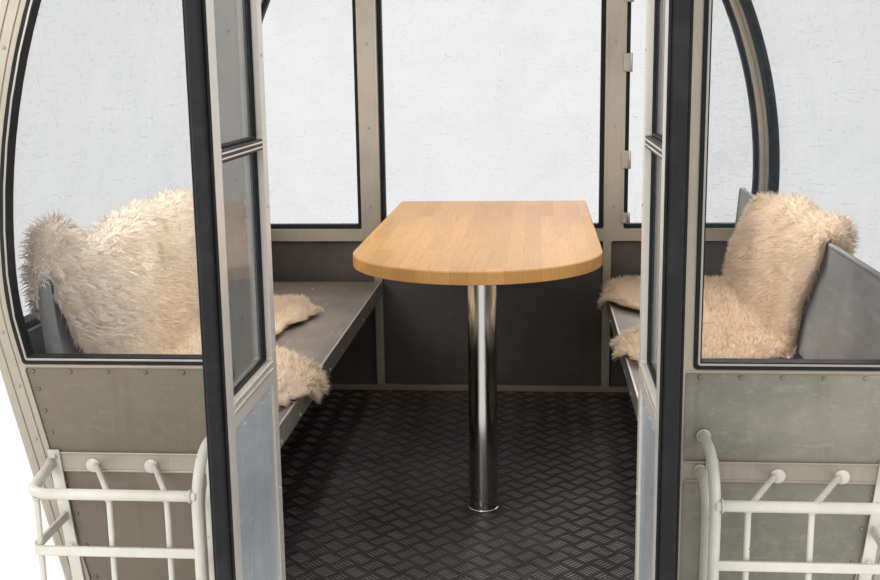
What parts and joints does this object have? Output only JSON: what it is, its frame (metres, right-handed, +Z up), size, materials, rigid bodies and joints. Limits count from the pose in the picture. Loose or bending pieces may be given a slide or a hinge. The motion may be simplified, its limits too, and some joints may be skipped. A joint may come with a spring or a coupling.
{
  "type": "gondola lift cabin",
  "caption": "Cable car cabin with curved end walls, open double door, benches, dining table, ski racks, hanger arm and rope grip.",
  "frame": {"origin": "on the rope's axis, in the middle of the grip's jaws", "axes": "+X along the rope, +Y away from the door side, +Z up"},
  "size_m": [1.982, 2.274, 4.271],
  "materials": {
    "profile": "satin",
    "wall_panel": "satin",
    "back_panel": "satin",
    "leaf_panel": "satin",
    "pane": "polished",
    "rubber": "matte",
    "roof_paint": "satin",
    "tread_plate": "satin",
    "galvanised": "satin",
    "cast": "matte",
    "seat_board": "matte",
    "backrest_plate": "satin",
    "edge_strip": "satin",
    "fleece": "matte",
    "beech": "satin",
    "chromed": "polished",
    "rack_paint": "gloss",
    "spring_steel": "satin",
    "wheel_plastic": "satin"
  },
  "bodies": {
    "grip": {"grip_body": "cast", "jaw_pin": "spring_steel", "grip_springs": "spring_steel", "drive_plate": "galvanised"},
    "cabin": {"front_frame": "profile", "back_frame": "profile", "end_frame_left": "profile", "end_frame_right": "profile", "front_panel_left": "wall_panel", "front_panel_right": "wall_panel", "back_panels": "back_panel", "end_panel_left": "wall_panel", "end_panel_right": "wall_panel", "pane_front_left": "pane", "pane_front_right": "pane", "panes_back": "pane", "pane_end_left": "pane", "pane_end_right": "pane", "gaskets_flat": "rubber", "gaskets_end": "rubber", "roof": "roof_paint", "floor_pan": "wall_panel", "floor_plate": "tread_plate", "skids": "galvanised", "bumpers": "rubber", "bench_seat_left": "seat_board", "bench_seat_right": "seat_board", "bench_back_left": "backrest_plate", "bench_back_right": "backrest_plate", "bench_frame_left": "edge_strip", "bench_frame_right": "edge_strip", "table_top": "beech", "table_supports": "chromed", "fleece_left": "fleece", "fleece_right": "fleece", "ski_rack_left": "rack_paint", "ski_rack_right": "rack_paint", "dampers": "rubber", "roof_frame": "galvanised", "hanger": "galvanised"},
    "jaw": {"grip_jaw": "cast"},
    "wheel_front": {"grip_wheel_front": "wheel_plastic"},
    "wheel_rear": {"grip_wheel_rear": "wheel_plastic"},
    "leaf_left": {"door_frame_left": "profile", "door_panes_left": "pane", "door_panel_left": "leaf_panel", "door_seal_left": "rubber"},
    "leaf_right": {"door_frame_right": "profile", "door_panes_right": "pane", "door_panel_right": "leaf_panel", "door_seal_right": "rubber"}
  },
  "joints": [
    {"name": "cabin_swing", "type": "hinge", "parent": "grip", "child": "cabin", "pos_m": [0, -0.182, -0.075], "axis": [0, 1, 0], "range_deg": [-30, 30]},
    {"name": "jaw_open", "type": "hinge", "parent": "grip", "child": "jaw", "pos_m": [0, -0.062, -0.038], "axis": [1, 0, 0], "range_deg": [-12, 0], "stiffness_Nm_per_rad": 300, "springref_deg": 5.73, "deforming": ["grip_springs"]},
    {"name": "wheel_front_turn", "type": "hinge", "parent": "grip", "child": "wheel_front", "pos_m": [0.172, -0.04, 0.105], "axis": [0, 1, 0], "continuous": true},
    {"name": "wheel_rear_turn", "type": "hinge", "parent": "grip", "child": "wheel_rear", "pos_m": [-0.172, -0.04, 0.105], "axis": [0, 1, 0], "continuous": true},
    {"name": "door_left_swing", "type": "hinge", "parent": "cabin", "child": "leaf_left", "pos_m": [-0.408, -0.938, -3.05], "axis": [0, 0, 1], "range_deg": [0, 90]},
    {"name": "door_right_swing", "type": "hinge", "parent": "cabin", "child": "leaf_right", "pos_m": [0.408, -0.938, -3.05], "axis": [0, 0, 1], "range_deg": [-90, 0]}
  ]
}
